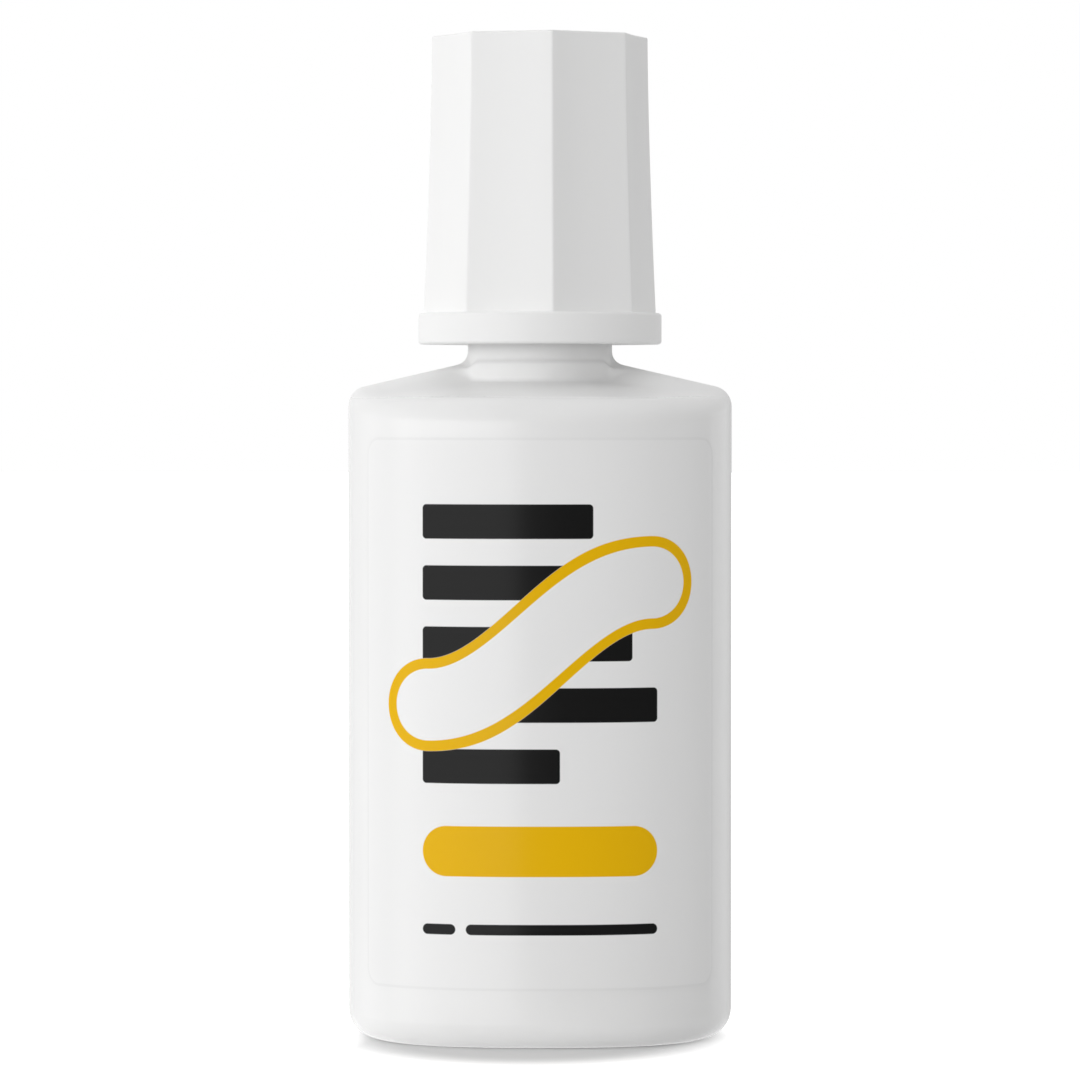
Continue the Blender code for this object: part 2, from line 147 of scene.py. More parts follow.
# %% Grids into meshes
def grid_piece(name, points, wrap_rows=False, wrap_columns=True, poles=(None, None)):
    """Make an object from a grid of points, rows x columns x 3, with fans closing its poles.

    The face at row i, column j joins (i, j), (i+1, j), (i+1, j+1) and (i, j+1).
    """
    rows, columns = points.shape[:2]
    index = np.arange(rows * columns).reshape(rows, columns)
    index = np.hstack([index, index[:, :1]]) if wrap_columns else index
    index = np.vstack([index, index[:1]]) if wrap_rows else index
    quads = np.stack([index[:-1, :-1], index[1:, :-1], index[1:, 1:], index[:-1, 1:]], axis=-1)
    faces = quads.reshape(-1, 4).tolist()
    verts = [points.reshape(-1, 3)]
    for end, pole in zip((0, -1), poles):
        if pole is not None:
            tip = np.full(index.shape[1] - 1, sum(len(part) for part in verts))
            edge = (tip, index[end, :-1]) if end == 0 else (index[end, :-1], tip)
            faces += np.stack([*edge, index[end, 1:]], axis=-1).tolist()
            verts.append(np.array([pole], float))
    return new_object(name, np.concatenate(verts).tolist(), faces)


def new_object(name, verts, faces):
    """Put points and faces into a new object at the origin."""
    mesh = bpy.data.meshes.new(name)
    mesh.from_pydata(verts, [], faces)
    mesh.update()
    piece = bpy.data.objects.new(name, mesh)
    bpy.context.scene.collection.objects.link(piece)
    return piece


def hang(piece, node, finish, sharp=32.0):
    """Shade a piece, give it its finish, and let it stand for a solid on that solid's body.

    Edges that turn by more than sharp degrees stay crisp.
    """
    piece.data.shade_smooth()
    piece.data.set_sharp_from_angle(angle=math.radians(sharp))
    piece.data.materials.append(finish)
    body = next(name for name, nodes in frame["record"]["behaviour"]["bodies"].items()
                if node in nodes)
    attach(piece, body)
    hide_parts(node)
    triangles = sum(len(face.vertices) - 2 for face in piece.data.polygons)
    print(f"{piece.name}: {triangles} triangles on body {body}")


ROUND_COLUMNS = 120
round_angles = np.arange(ROUND_COLUMNS) / ROUND_COLUMNS * math.tau
print("grid helpers ready")

# %% [markdown]
# ## Finishes from expressions
#
# A shader's pattern is a formula, so it is easier to read as one. A small class holds a socket and
# turns Python's operators into Math nodes; & and | keep the smaller and the larger of two masks.
# One method adds every other kind of node.

# %% A socket that can be used in formulas
class Wire:
    """A socket of a node tree: arithmetic on it adds Math nodes, and node() adds any other."""

    def __init__(self, tree, socket=None):
        self.tree = tree
        self.socket = socket

    def node(self, kind, settings=None, inputs=None, output=0):
        """Add a node, set its settings, fill or link its sockets, and hold one of its outputs."""
        made = self.tree.nodes.new(kind)
        for key, value in (settings or {}).items():
            setattr(made, key, value)
        for key, value in (inputs or {}).items():
            if isinstance(value, Wire):
                self.tree.links.new(value.socket, made.inputs[key])
            else:
                made.inputs[key].default_value = value
        return Wire(self.tree, made.outputs[output])

    def output(self, name):
        """Hold another output of the same node."""
        return Wire(self.tree, self.socket.node.outputs[name])

    def into(self, shader, socket):
        """Link this socket to a shader's socket."""
        self.tree.links.new(self.socket, shader.inputs[socket])

    def math(self, operation, *values):
        """Add a Math node."""
        return self.node("ShaderNodeMath", {"operation": operation}, dict(enumerate(values)))

    def __add__(self, other):
        return self.math("ADD", self, other)

    def __sub__(self, other):
        return self.math("SUBTRACT", self, other)

    def __rsub__(self, other):
        return self.math("SUBTRACT", other, self)

    def __mul__(self, other):
        return self.math("MULTIPLY", self, other)

    def __truediv__(self, other):
        return self.math("DIVIDE", self, other)

    def __and__(self, other):
        return self.math("MINIMUM", self, other)

    def __or__(self, other):
        return self.math("MAXIMUM", self, other)

    def __abs__(self):
        return self.math("ABSOLUTE", self)

    __radd__ = __add__
    __rmul__ = __mul__

    def ramp(self, low, high):
        """Rise smoothly from 0 at low to 1 at high."""
        return self.node("ShaderNodeMapRange", {"interpolation_type": "SMOOTHSTEP"},
                         {"Value": self, "From Min": low, "From Max": high})

    def blend(self, first, second):
        """Mix two colours by this mask."""
        return self.node("ShaderNodeMix", {"data_type": "RGBA"}, {0: self, 6: first, 7: second}, 2)


def new_finish(name, color, roughness, metallic=0.0):
    """Start a Principled finish with its plain values, and give its shader and a blank Wire."""
    finish = bpy.data.materials.new(name)
    finish.use_nodes = True
    shader = finish.node_tree.nodes["Principled BSDF"]
    shader.inputs["Base Color"].default_value = (*color, 1.0)
    shader.inputs["Roughness"].default_value = roughness
    shader.inputs["Metallic"].default_value = metallic
    return finish, shader, Wire(finish.node_tree)


print("node helper ready")

# %% [markdown]
# White plastic is never one flat white. A blown bottle has a faint orange peel, a moulded cap keeps
# the drawn lines of its mould, and both have soft patches where the gloss changes. These come from
# noises in Object coordinates, in metres, so they stay put on each piece. The amounts are small:
# the photograph shows unmarked plastic, and only the highlights betray it. The body is glossy, while
# its shoulder and the cap are matt, as plastic is where its mould was blasted with grit. The
# bottle's shoulder is also painted whiter: painted light, where the cap shades it.

# %% White plastics
PLASTIC_IOR = 1.58
PATCHES_PER_METRE = 110.0
PATCH_DETAIL = 3.0
PATCH_BAND = (0.35, 0.68)
PATCH_SHADE = 0.975
PATCH_ROUGHNESS = 0.05
DENT_DETAIL = 2.0
DENT_ROUGHNESS = 0.03
DENT_STRENGTH = 0.35
MATT_AND_LIGHT_FADE = 2.0 * MM
DULL_GAIN = 0.45
PAINTED_LIGHT_GAIN = 1.05


def white_plastic(name, color, roughness, peel_size, peel_depth, stretch,
                  sheen=0.5, matt_and_lit_from=None):
    """Mix two close whites by a wide noise, vary the gloss by it, and dent the surface finely.

    peel_size is the width of one dent, and stretch draws the dents out along Z. A sheen of 0.5
    is what the refractive index gives, and less is a surface that fine pores make duller. Above
    a given height, the surface keeps the grain of its mould and is rougher, and its colour is
    painted whiter: painted light, where the cap shades the shoulder.
    """
    finish, shader, blank = new_finish(name, color, roughness)
    shader.inputs["IOR"].default_value = PLASTIC_IOR
    shader.inputs["Specular IOR Level"].default_value = sheen
    place = blank.node("ShaderNodeTexCoord", output="Object")
    drawn = blank.node("ShaderNodeMapping", inputs={"Vector": place, "Scale": (1, 1, 1 / stretch)})
    wide = blank.node("ShaderNodeTexNoise", inputs={
        "Vector": drawn, "Scale": PATCHES_PER_METRE, "Detail": PATCH_DETAIL})
    fine = blank.node("ShaderNodeTexNoise", inputs={
        "Vector": drawn, "Scale": 1 / peel_size, "Detail": DENT_DETAIL})
    patch = wide.ramp(*PATCH_BAND)
    shade = tuple(PATCH_SHADE * value for value in color)
    tone = patch.blend((*color, 1.0), (*shade, 1.0))
    rough = roughness - DENT_ROUGHNESS + patch * PATCH_ROUGHNESS + fine * DENT_ROUGHNESS
    if matt_and_lit_from is not None:
        height = blank.node("ShaderNodeSeparateXYZ", inputs={0: place}, output="Z")
        # Above the given height the surface turns matt and its colour is painted lighter: painted
        # light where the cap shades the shoulder.
        dull = height.ramp(matt_and_lit_from, matt_and_lit_from + MATT_AND_LIGHT_FADE)
        painted_lighter = tuple(PAINTED_LIGHT_GAIN * value for value in color)
        tone = dull.blend(tone, patch.blend((*painted_lighter, 1.0), (*color, 1.0)))
        rough = rough + dull * DULL_GAIN
    tone.into(shader, "Base Color")
    rough.into(shader, "Roughness")
    dents = blank.node("ShaderNodeBump", inputs={
        "Height": fine, "Strength": DENT_STRENGTH, "Distance": peel_depth})
    dents.into(shader, "Normal")
    return finish


bottle_white = white_plastic(
    "bottle_white", (0.930, 0.930, 0.927), roughness=0.15, peel_size=0.25 * MM,
    peel_depth=0.001 * MM, stretch=1.6, sheen=0.35, matt_and_lit_from=48.5 * MM)
cap_white = white_plastic(
    "cap_white", (0.960, 0.960, 0.956), roughness=0.62, peel_size=0.30 * MM,
    peel_depth=0.001 * MM, stretch=9.0, sheen=0.12)
stem_white = white_plastic(
    "stem_white", (0.86, 0.865, 0.855), roughness=0.42, peel_size=0.30 * MM,
    peel_depth=0.002 * MM, stretch=4.0)
print("white plastics ready")

# %% [markdown]
# ## The bottle
#
# The body is blown in a split mould: a tall oval shell with a sloping shoulder, a threaded neck, a
# raised middle under its base and a faint seam down both narrow sides. A subdivision cage would
# blur the crisp collar round the neck's foot, so the whole shell is one profile that runs from the
# floor inside, over the lip and down to the base, with a radius of its own in each direction.
# The first step is the outline of the body seen from above.

# %% Bottle outline
bottle_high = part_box("bottle_body")[1]
OVAL_POWER = 2.5
SEAM_RISE = 0.03 * MM
SIDE_CROWDING = 0.65
BOTTLE_COLUMNS = 320


def oval_reach(angles):
    """Distance from the axis to the superellipse |x/a|^n + |y/b|^n = 1 in each direction."""
    across = np.abs(np.cos(angles) / (bottle_high.x - SEAM_RISE)) ** OVAL_POWER
    along = np.abs(np.sin(angles) / bottle_high.y) ** OVAL_POWER
    return (across + along) ** (-1 / OVAL_POWER)


def oval_angles(count):
    """Directions round the axis, crowded at both ends of the oval: a = t - k/2 sin 2t."""
    turn = np.arange(count) / count * math.tau
    return turn - SIDE_CROWDING / 2 * np.sin(2 * turn)


angles = oval_angles(BOTTLE_COLUMNS)
reach = oval_reach(angles)
print("oval in mm:", round(2 * reach.max() / MM, 2), "x", round(2 * reach.min() / MM, 2))

# %% [markdown]
# The neck and the cap share one screw thread. A thread is a ridge along a helix, so its height at a
# point is found from the distance to the nearest turn. The pitch comes from the joints: the cap's
# rise over its turns.

# %% Screw thread
joints = {joint["name"]: joint for joint in frame["joints"]}
turns_open = joints["cap_turn"]["range_deg"][1] / 360
THREAD_LEAD = joints["cap_rise"]["range_m"][1] / turns_open
THREAD_ROOT = 1.10 * MM
THREAD_CREST = 0.45 * MM
THREAD_RUN_OUT = 0.08


def thread_rise(angles, heights, start, turns, rise):
    """Height of a thread: rise on its crest, straight flanks, running out at both ends.

    The helix is z = start + lead * t at the angle 360 t, and the nearest turn has the t whose
    whole part is the rounded number of turns between the point and the helix.
    """
    part = (angles % math.tau) / math.tau
    t = np.round((heights - start) / THREAD_LEAD - part) + part
    away = np.abs(heights - start - THREAD_LEAD * t)
    flank = np.clip((THREAD_ROOT / 2 - away) / ((THREAD_ROOT - THREAD_CREST) / 2), 0.0, 1.0)
    ends = np.clip(np.minimum(t, turns - t) / THREAD_RUN_OUT, 0.0, 1.0)
    return rise * flank * ends


print("thread lead in mm:", round(THREAD_LEAD / MM, 3))

# %% [markdown]
# The shoulder falls from the collar's foot to the edge of the body, and each height in it is an
# array with one value for every direction. Towards the front and the back it lies lower, and the
# collar stands free. At the two sides a mask, called ridge here, lifts it to the top of the collar
# and widens the corner between them, so that neck and shoulder flow into each other.

# %% Neck and shoulder
NECK_TOP = bottle_high.z
NECK_RADIUS = 5.56 * MM
SHOULDER_TOP = NECK_TOP - 10.9 * MM
SHOULDER_START = 6.0 * MM
SHOULDER_SLOPE = math.tan(math.radians(13.0))
SHOULDER_DIP = 1.45 * MM
DIP_SOFTNESS = 0.003
DIP_POWER = 0.38
SIDE_FILLET = 1.25 * MM
FRONT_FILLET = 1.75 * MM
COLLAR_RADIUS = 5.74 * MM
COLLAR_TOP = SHOULDER_TOP + 0.05 * MM
COLLAR_STEP = 0.30 * MM
COLLAR_ROUNDING = 0.15 * MM
COLLAR_FILLET = 0.35 * MM
COLLAR_DIP = 1.40 * MM
RIDGE_WIDTH = 0.36
RIDGE_POWER = 1.7
RIDGE_RUN = 1.2 * MM
RIDGE_FILLET = 0.85 * MM

side = np.sin(angles) ** 2
dip = SHOULDER_DIP * ((side + DIP_SOFTNESS) ** DIP_POWER - DIP_SOFTNESS**DIP_POWER)
ridge = np.exp(-((side / RIDGE_WIDTH**2) ** RIDGE_POWER))
fillet = SIDE_FILLET + (FRONT_FILLET - SIDE_FILLET) * side
collar_foot = SHOULDER_TOP - COLLAR_DIP * (1 - ridge)
shoulder_edge = SHOULDER_TOP - dip - SHOULDER_SLOPE * (reach - SHOULDER_START)
shoulder_fall = (shoulder_edge - collar_foot) / (reach - SHOULDER_START)


def on_shoulder(radius):
    """Height of the shoulder, straight from the collar's foot to the edge of the body."""
    return collar_foot + shoulder_fall * (radius - SHOULDER_START)


neck_foot = (1 - ridge) * (COLLAR_TOP + COLLAR_STEP) + ridge * on_shoulder(NECK_RADIUS)
neck_fillet = (1 - ridge) * COLLAR_ROUNDING + ridge**2 * RIDGE_FILLET
collar_edge = COLLAR_RADIUS + ridge**2 * RIDGE_RUN
collar_height = (1 - ridge) * COLLAR_TOP + ridge * on_shoulder(collar_edge)
collar_base = COLLAR_RADIUS + 2 * ridge**2 * RIDGE_RUN
print("collar height in mm:", round((COLLAR_TOP - collar_foot.min()) / MM, 2))

# %% [markdown]
# The rest of the profile is the inside, one wall away from the outside, the lip, and the base. A
# blown bottle stands on a ring, and its middle is pushed up so that it can't rock.

# %% Bottle profile
BOTTLE_WALL = 1.1 * MM
CEILING_WALL = 1.03 * BOTTLE_WALL
BORE_RADIUS = NECK_RADIUS - BOTTLE_WALL
BORE_FILLET = 0.5 * MM
LIP_INNER = 0.15 * MM
LIP_OUTER = 0.20 * MM
INNER_FOOT = 0.9 * MM
INNER_SHOULDER = 0.7 * MM
FLOOR_SHIFT = 0.26 * MM
FLOOR_ROUNDING = 0.5 * MM
BASE_FILLET = 2.0 * MM
STANDING_RING = 5.4 * MM
PUSH_UP_RUN = 1.6 * MM
PUSH_UP_RISE = 0.8 * MM
PUSH_UP_ROUNDING = 0.6 * MM
POLE = 0.4 * MM
NECK_ROWS = 92
SHELL_ARC_STEPS = 8

inside = reach - BOTTLE_WALL
inner_corner = on_shoulder(inside) - CEILING_WALL
bore_foot = on_shoulder(BORE_RADIUS) - CEILING_WALL
ring_edge = reach - STANDING_RING
push_edge = ring_edge - PUSH_UP_RUN
floor_top = BOTTLE_WALL + PUSH_UP_RISE
shell = rounded_profile([
    (POLE, floor_top, 0.0, 1),
    (push_edge + FLOOR_SHIFT, floor_top, FLOOR_ROUNDING, 2),
    (ring_edge + FLOOR_SHIFT, BOTTLE_WALL, FLOOR_ROUNDING, 1),
    (inside, BOTTLE_WALL, INNER_FOOT, 1),
    (inside, inner_corner, INNER_SHOULDER, 4),
    (BORE_RADIUS, bore_foot, BORE_FILLET, 4),
    (BORE_RADIUS, NECK_TOP, LIP_INNER, 2),
    (NECK_RADIUS, NECK_TOP, LIP_OUTER, 1),
    (NECK_RADIUS, neck_foot, neck_fillet, NECK_ROWS),
    (collar_edge, collar_height, COLLAR_ROUNDING, 1),
    (collar_base, on_shoulder(collar_base), COLLAR_FILLET, 2),
    (reach, shoulder_edge, fillet, 6),
    (reach, 0.0, BASE_FILLET, 10),
    (ring_edge, 0.0, PUSH_UP_ROUNDING, 2),
    (push_edge, PUSH_UP_RISE, PUSH_UP_ROUNDING, 2),
    (POLE, PUSH_UP_RISE, 0.0, 14),
], BOTTLE_COLUMNS, SHELL_ARC_STEPS)
print("bottle grid:", shell.shape[:2])

# %% [markdown]
# The thread and the mould's seam are small shifts of that grid. The seam stands a few hundredths of
# a millimetre proud on the narrow sides, runs over the shoulder, and ends in the pinched line under
# the base, where the mould closed on the soft tube.

# %% Bottle
THREAD_START = NECK_TOP - 5.0 * MM
THREAD_RISE = 0.90 * MM
SAME_RADIUS = 1e-7
SEAM_START = COLLAR_RADIUS + 0.2 * MM
SEAM_WIDTH = 0.16 * MM
PINCH_WIDTH = 0.3 * MM
PINCH_DEPTH = 0.16 * MM
PINCH_START = 0.3 * MM

radius, height = shell[..., 0], shell[..., 1]
on_neck = np.isclose(radius, NECK_RADIUS, atol=SAME_RADIUS)
radius += on_neck * thread_rise(angles, height, THREAD_START, turns_open, THREAD_RISE)
lip_row = np.argmax(height[:, 0])
outside = (np.arange(len(shell)) > lip_row)[:, None]
seam = np.exp(-((radius * np.sin(angles) / SEAM_WIDTH) ** 2))
under = outside & (radius < ring_edge) & (height < 2 * PUSH_UP_RISE)
radius += np.where(outside & ~under & (radius > SEAM_START), SEAM_RISE * seam, 0.0)
pinch = np.exp(-((radius * np.sin(angles) / PINCH_WIDTH) ** 2))
pinch *= np.clip((height - PINCH_START) / PUSH_UP_RISE, 0.0, 1.0)
height -= np.where(under, PINCH_DEPTH * pinch, 0.0)
bottle = grid_piece("bottle_shell", around(shell, angles),
                    poles=((0, 0, floor_top), (0, 0, height[-1].mean())))
hang(bottle, "bottle_body", bottle_white)

# %% [markdown]
# ## The label
#
# A thin printed film lies on the front of the body, with rounded corners. It is a grid in two
# lengths, one along the oval and one upwards, laid a little off the plastic. Its map, from 0 to 1
# both ways, carries the print.

# %% Label film
label_low, label_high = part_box("front_label")
LABEL_LIFT = 0.065 * MM
LABEL_THICKNESS = 0.05 * MM
LABEL_CORNER = 1.4 * MM
LABEL_INSET = 0.1 * MM
LABEL_COLUMNS = 141
LABEL_ROWS = 9
FRONT_STEPS = 2001

spread = np.linspace(-math.pi, 0.0, FRONT_STEPS)
front = np.stack([np.cos(spread), np.sin(spread)], axis=-1) * oval_reach(spread)[:, None]
lengths = np.concatenate([[0.0], np.cumsum(np.linalg.norm(np.diff(front, axis=0), axis=1))])
lengths -= lengths[len(lengths) // 2]
label_half = np.interp(label_high.x - LABEL_INSET, front[:, 0], lengths)
label_tall = label_high.z - label_low.z

bend = LABEL_CORNER * (1 - np.cos(np.linspace(0.0, math.pi / 2, LABEL_ROWS)))
straight = np.linspace(LABEL_CORNER, label_tall - LABEL_CORNER, LABEL_ROWS)
rise = np.concatenate([bend[:-1], straight, (label_tall - bend[::-1])[1:]])
short = np.maximum(LABEL_CORNER - np.minimum(rise, label_tall - rise), 0.0)
half = label_half - LABEL_CORNER + np.sqrt(LABEL_CORNER**2 - short**2)
along = half[::-1, None] * np.linspace(-1.0, 1.0, LABEL_COLUMNS)
place = np.stack([np.interp(along, lengths, front[:, axis]) for axis in (0, 1)], axis=-1)
half_axes = np.array([bottle_high.x, bottle_high.y])
share = place / half_axes
facing = np.sign(share) * np.abs(share) ** (OVAL_POWER - 1) / half_axes
place += facing / np.linalg.norm(facing, axis=-1, keepdims=True) * LABEL_LIFT
tall = np.broadcast_to(rise[::-1, None], along.shape)
film = np.concatenate([place, (label_low.z + tall)[..., None]], axis=-1)
label_map = np.stack([along / label_half / 2 + 0.5, tall / label_tall], axis=-1)
print("label film in mm:", round(2 * label_half / MM, 2), "x", round(label_tall / MM, 2))

# %% [markdown]
# The print is a plain design in the colours of such labels: lines of writing as black bars, a broad
# white stroke edged in amber that covers part of them, and an amber band below. Each shape is a
# distance worked out from the label's own map, in millimetres, so its edges stay crisp. A faint
# grey line runs along the film's outline: painted shade at the film's cut edge.

# %% Label print
AMBER = (0.890, 0.510, 0.003, 1.0)
INK = (0.010, 0.010, 0.010, 1.0)
FILM = (0.920, 0.920, 0.918, 1.0)
PAINTED_EDGE_SHADE = (0.880, 0.880, 0.878, 1.0)
EDGE_SHADE_WIDTH = 0.20
EDGE = 0.035
FILM_GLOSS = 0.55
INK_GLOSS = 0.15
GLOSS_ROUGHNESS = 0.16
FILM_ROUGHNESS = 0.50
GRAIN_ROUGHNESS = 0.10
GRAINS_PER_METRE = 900.0
GRAIN_DETAIL = 3.0
PRINT_LEFT = -9.0
PRINT_RIGHT = 9.0
LINE_ENDS = (4.0, 9.0, 7.0, 9.0, 1.5)
LINE_FOOT = 34.0
LINE_STEP = 4.6
LINE_TALL = 2.6
LINE_CORNER = 0.3
RULE = (4.2, 5.0)
RULE_GAP = (-6.4, -5.6)
RULE_CORNER = 0.4
BAND = (8.6, 12.4)
BAND_CORNER = 1.9
STROKE_HALF = 8.6
STROKE_RISE = 4.6
STROKE_MIDDLE = 26.1
STROKE_WIDTH = 5.4
STROKE_RIM = 0.8


def bar_mask(u, v, left, right, foot, head, corner):
    """Mask of a bar with rounded corners: 1 where the distance to its outline is negative."""
    across = (abs(u - (left + right) / 2) - ((right - left) / 2 - corner)) | 0.0
    upright = (abs(v - (foot + head) / 2) - ((head - foot) / 2 - corner)) | 0.0
    away = across.math("SQRT", across * across + upright * upright)
    return (away - corner).ramp(EDGE, -EDGE)


def label_print():
    """Paint bars, a stroke and a band on the film, and give the ink less of the film's gloss."""
    plain_roughness = FILM_ROUGHNESS + GRAIN_ROUGHNESS / 2
    finish, shader, blank = new_finish("label_print", FILM[:3], plain_roughness)
    shader.inputs["Specular IOR Level"].default_value = 0.0
    shader.inputs["Coat Roughness"].default_value = GLOSS_ROUGHNESS
    shader.inputs["Coat IOR"].default_value = PLASTIC_IOR
    chart = blank.node("ShaderNodeUVMap", {"uv_map": "label_map"})
    u = blank.node("ShaderNodeSeparateXYZ", inputs={0: chart})
    v = u.output("Y") * (label_tall / MM)
    u = (u - 0.5) * (2 * label_half / MM)
    bars = bar_mask(u, v, PRINT_LEFT, RULE_GAP[0], *RULE, RULE_CORNER)
    bars = bars | bar_mask(u, v, RULE_GAP[1], PRINT_RIGHT, *RULE, RULE_CORNER)
    for line, end in enumerate(LINE_ENDS):
        foot = LINE_FOOT - line * LINE_STEP
        bars = bars | bar_mask(u, v, PRINT_LEFT, end, foot, foot + LINE_TALL, LINE_CORNER)
    held = (u | -STROKE_HALF) & STROKE_HALF
    phase = held * (math.pi / 2 / STROKE_HALF)
    slope = u.math("COSINE", phase) * (STROKE_RISE * math.pi / 2 / STROKE_HALF)
    above = v - STROKE_MIDDLE - u.math("SINE", phase) * STROKE_RISE
    beside = above / u.math("SQRT", 1 + slope * slope)
    beyond = u - held
    away = u.math("SQRT", beside * beside + beyond * beyond) - STROKE_WIDTH / 2
    stroke = away.ramp(EDGE, -EDGE)
    rim = (away - STROKE_RIM).ramp(EDGE, -EDGE)
    band = bar_mask(u, v, PRINT_LEFT, PRINT_RIGHT, *BAND, BAND_CORNER)
    ink = bars & (1 - rim)
    amber = (rim & (1 - stroke)) | band
    film_half, film_tall = label_half / MM, label_tall / MM
    # A thin band along the film's outline is painted darker: painted shade at its cut edge.
    clear_of_edge_shade = bar_mask(u, v, EDGE_SHADE_WIDTH - film_half, film_half - EDGE_SHADE_WIDTH, EDGE_SHADE_WIDTH,
                     film_tall - EDGE_SHADE_WIDTH, LABEL_CORNER / MM - EDGE_SHADE_WIDTH)
    ink.blend(amber.blend(clear_of_edge_shade.blend(PAINTED_EDGE_SHADE, FILM), AMBER), INK).into(shader, "Base Color")
    (FILM_GLOSS - (ink | amber) * (FILM_GLOSS - INK_GLOSS)).into(shader, "Coat Weight")
    place = blank.node("ShaderNodeTexCoord", output="Object")
    grain = blank.node("ShaderNodeTexNoise", inputs={
        "Vector": place, "Scale": GRAINS_PER_METRE, "Detail": GRAIN_DETAIL})
    (FILM_ROUGHNESS + grain * GRAIN_ROUGHNESS).into(shader, "Roughness")
    return finish


label_finish = label_print()
print("label print ready")

# %% [markdown]
# A Solidify modifier gives the film its thickness, inwards. It is applied at once, so that the
# piece is a plain mesh, and the map goes with it.

# %% Label
label = grid_piece("label_film", film, wrap_columns=False)
label_uv = label.data.uv_layers.new(name="label_map")
corner_points = np.empty(len(label.data.loops), int)
label.data.loops.foreach_get("vertex_index", corner_points)
label_uv.data.foreach_set("uv", label_map.reshape(-1, 2)[corner_points].ravel())
thickness = label.modifiers.new("Film", "SOLIDIFY")
thickness.thickness = LABEL_THICKNESS
thickness.offset = -1.0
solid_film = bpy.data.meshes.new_from_object(
    label.evaluated_get(bpy.context.evaluated_depsgraph_get()))
label.modifiers.clear()
label.data = solid_film
hang(label, "front_label", label_finish)

# %% [markdown]
# ## The cap
#
# The screw cap has eight sides, a little hollow, that flare towards a round flange. Inside are the
# bore with its thread, a ledge that presses on the seal, and a tube that grips the brush's stem.
# A cone cut by planes would give the sides, but not the round bore in the same mesh, so the cap is
# one profile too: its outer radius in each direction is that of an octagon with rounded corners.

# %% Cap outline
cap_low, cap_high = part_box("cap_shell")
CAP_SIDES = 8
CAP_REST_ANGLE = math.radians(6.3)
CAP_CORNER = 0.30 * MM
CAP_HOLLOW = 0.16 * MM
CAP_TAPER = 0.65 * MM
CAP_FLARE_POWER = 1.5
FLANGE_HEIGHT = 2.4 * MM
FLANGE_RADIUS = cap_high.x
FLANGE_STEP = 0.35 * MM
CORNER_POINTS = 7
FLAT_POINTS = 14
octagon = math.cos(math.pi / CAP_SIDES)
foot_corner = FLANGE_RADIUS - FLANGE_STEP
top_corner = foot_corner - CAP_TAPER


def octagon_outline(flat):
    """Directions and distances of an octagon's outline, its corners rounded to an arc.

    A corner's arc has its centre on the corner's direction. Each side between two arcs is bowed
    inwards by 4 h s (1 - s), and flat is the distance from the axis to its straight line.
    """
    side = np.arange(CAP_SIDES)[:, None] * math.tau / CAP_SIDES + CAP_REST_ANGLE
    width = 2 * flat * math.tan(math.pi / CAP_SIDES)
    sweep = math.pi / CAP_SIDES + 4 * CAP_HOLLOW / width
    centre = (flat - CAP_CORNER) / octagon * np.exp(1j * side)
    arcs = centre + CAP_CORNER * np.exp(1j * (side + np.linspace(-sweep, sweep, CORNER_POINTS)))
    start, end = arcs[:, -1:], np.roll(arcs, -1, axis=0)[:, :1]
    s = np.linspace(0.0, 1.0, FLAT_POINTS + 2)[1:-1]
    inwards = -np.exp(1j * (side + math.pi / CAP_SIDES))
    flats = start + (end - start) * s + 4 * CAP_HOLLOW * s * (1 - s) * inwards
    outline = np.concatenate([arcs, flats], axis=1).ravel()
    return np.angle(outline), np.abs(outline)


cap_angles, cap_reach = octagon_outline(foot_corner * octagon)
cap_reach = cap_reach / foot_corner
print("cap columns:", len(cap_angles), "corner radius in mm:", round(foot_corner / MM, 2))

# %% [markdown]
# The profile starts in the middle of the top, runs down the sides and round the flange, goes up
# the bore to the ledge, and ends in the socket. The sides have rows of their own, as they flare
# along a curve.

# %% Cap
CAP_BORE = 6.85 * MM
CAP_LEDGE = cap_low.z + 12.2 * MM
CAP_CEILING = cap_high.z - 1.2 * MM
CAP_TOP = cap_high.z - 0.12 * MM
CAP_CAVITY = 6.0 * MM
SOCKET_BORE = 3.32 * MM
SOCKET_RADIUS = 4.32 * MM
CAP_THREAD_RISE = 0.88 * MM
CAP_THREAD_TURNS = 1.1
CAP_BORE_ROWS = 108
CAP_WALL_ROWS = 11
TOP_EDGE = 0.14 * MM
WALL_FILLET = 0.07 * MM
FLANGE_EDGE = 0.26 * MM
BORE_EDGE = 0.25 * MM
LEDGE_EDGE = 0.1 * MM
CEILING_FILLET = 0.4 * MM
SOCKET_EDGE = 0.15 * MM
SOCKET_LEAD_IN = 0.25 * MM
SOCKET_FILLET = 0.3 * MM

